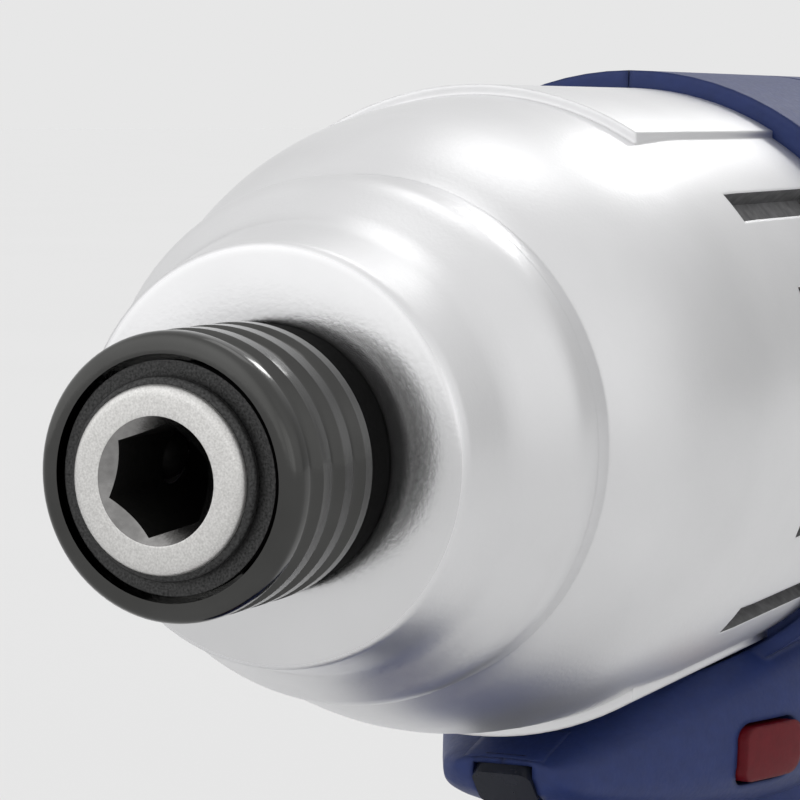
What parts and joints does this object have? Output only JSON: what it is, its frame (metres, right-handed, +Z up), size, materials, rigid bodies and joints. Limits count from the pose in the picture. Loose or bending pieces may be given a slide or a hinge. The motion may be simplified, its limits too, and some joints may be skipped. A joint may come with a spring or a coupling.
{
  "type": "impact driver",
  "caption": "Cordless pistol-grip impact driver with a quick-release hex bit holder, hammer mechanism, planetary drive, clamshell housing and slide-on battery pack.",
  "frame": {"origin": "middle of the battery's flat base", "axes": "+X forward along the spindle, +Y to the operator's left, +Z up"},
  "size_m": [0.155, 0.07, 0.1985],
  "materials": {
    "cast_aluminium": "bead-blasted cast aluminium, clear coated",
    "satin_steel": "ground and phosphated steel",
    "dark_steel": "black oxide on steel",
    "spring_steel": "drawn spring wire",
    "blue_nylon": "spark-eroded texture",
    "black_nylon": "fine texture",
    "black_rubber": "matt, ribbed",
    "red_nylon": "semi-gloss",
    "bronze": "oil-soaked sinter",
    "brass_parts": "plated",
    "copper_winding": "enamelled wire",
    "lamp_window": "smoked polycarbonate",
    "circuit_board": "solder mask",
    "cell_sleeve": "shrink sleeve",
    "magnet": "nickel"
  },
  "bodies": {
    "tool": {"hammer_case": "cast_aluminium", "nose_seal": "black_rubber", "anvil_bush": "bronze", "anvil_washer": "dark_steel", "ring_gear": "satin_steel", "gear_cover": "cast_aluminium", "carrier_bearing": "satin_steel", "front_bearing": "satin_steel", "rear_bearing": "satin_steel", "stator_core": "satin_steel", "stator_coils": "copper_winding", "left_housing": "blue_nylon", "right_housing": "blue_nylon", "left_grip": "black_rubber", "right_grip": "black_rubber", "housing_screws": "dark_steel", "trigger_spring": "spring_steel", "switch_body": "black_nylon", "led_lens": "lamp_window", "led_board": "circuit_board", "control_board": "circuit_board", "terminal_block": "black_nylon", "tool_blades": "brass_parts", "hook_inserts": "brass_parts"},
    "anvil": {"anvil": "satin_steel", "snap_ring": "dark_steel", "sleeve_washer": "dark_steel", "detent_balls": "satin_steel", "sleeve_spring": "spring_steel"},
    "sleeve": {"bit_sleeve": "dark_steel"},
    "spindle": {"spindle": "satin_steel", "carrier_plate": "satin_steel", "planet_pins": "satin_steel", "cam_balls": "satin_steel", "hammer_spring": "spring_steel"},
    "hammer": {"hammer": "satin_steel", "thrust_balls": "satin_steel", "spring_washer": "dark_steel"},
    "planet_1": {"planet_gear_1": "satin_steel"},
    "planet_2": {"planet_gear_2": "satin_steel"},
    "planet_3": {"planet_gear_3": "satin_steel"},
    "rotor": {"motor_shaft": "satin_steel", "pinion": "satin_steel", "rotor_core": "satin_steel", "rotor_magnets": "magnet", "fan": "black_nylon"},
    "trigger": {"trigger": "black_nylon"},
    "direction": {"direction_switch": "red_nylon"},
    "battery": {"battery_tray": "black_nylon", "battery_lid": "black_nylon", "battery_cells": "cell_sleeve", "cell_holder": "black_nylon", "cell_straps": "satin_steel", "battery_board": "circuit_board", "battery_clips": "brass_parts", "battery_screws": "dark_steel", "latch_spring": "spring_steel"},
    "latch": {"latch_button": "red_nylon"}
  },
  "joints": [
    {"name": "spindle_spin", "type": "hinge", "parent": "tool", "child": "spindle", "pos_m": [0.1, 0, 0.172], "axis": [1, 0, 0], "continuous": true},
    {"name": "anvil_spin", "type": "hinge", "parent": "tool", "child": "anvil", "pos_m": [0.1, 0, 0.172], "axis": [1, 0, 0], "continuous": true},
    {"name": "rotor_spin", "type": "hinge", "parent": "tool", "child": "rotor", "pos_m": [0.1, 0, 0.172], "axis": [1, 0, 0], "continuous": true},
    {"name": "planet_1_spin", "type": "hinge", "parent": "spindle", "child": "planet_1", "pos_m": [0.0276, 0, 0.18325], "axis": [1, 0, 0], "continuous": true},
    {"name": "planet_2_spin", "type": "hinge", "parent": "spindle", "child": "planet_2", "pos_m": [0.0276, 0.00974, 0.16637], "axis": [1, 0, 0], "continuous": true},
    {"name": "planet_3_spin", "type": "hinge", "parent": "spindle", "child": "planet_3", "pos_m": [0.0276, -0.00974, 0.16637], "axis": [1, 0, 0], "continuous": true},
    {"name": "hammer_slide", "type": "slide", "parent": "spindle", "child": "hammer", "axis": [-1, 0, 0], "range_m": [0, 0.0055], "stiffness_N_per_m": 6000, "deforming": ["hammer_spring"]},
    {"name": "sleeve_slide", "type": "slide", "parent": "anvil", "child": "sleeve", "axis": [1, 0, 0], "range_m": [0, 0.0032], "stiffness_N_per_m": 1500, "deforming": ["sleeve_spring"]},
    {"name": "trigger_slide", "type": "slide", "parent": "tool", "child": "trigger", "axis": [-1, 0, 0], "range_m": [0, 0.0065], "stiffness_N_per_m": 1200, "deforming": ["trigger_spring"]},
    {"name": "direction_slide", "type": "slide", "parent": "tool", "child": "direction", "axis": [0, 1, 0], "range_m": [-0.002, 0.002]},
    {"name": "battery_slide", "type": "slide", "parent": "tool", "child": "battery", "axis": [1, 0, 0], "range_m": [0, 0.075]},
    {"name": "latch_press", "type": "slide", "parent": "battery", "child": "latch", "axis": [0, 0, -1], "range_m": [0, 0.0025], "stiffness_N_per_m": 900, "deforming": ["latch_spring"]}
  ],
  "couplings": [
    {"joint": "anvil_spin", "follows": "spindle_spin", "ratio": 1},
    {"joint": "rotor_spin", "follows": "spindle_spin", "ratio": 5},
    {"joint": "planet_1_spin", "follows": "spindle_spin", "ratio": -2.6667},
    {"joint": "planet_2_spin", "follows": "spindle_spin", "ratio": -2.6667},
    {"joint": "planet_3_spin", "follows": "spindle_spin", "ratio": -2.6667}
  ]
}
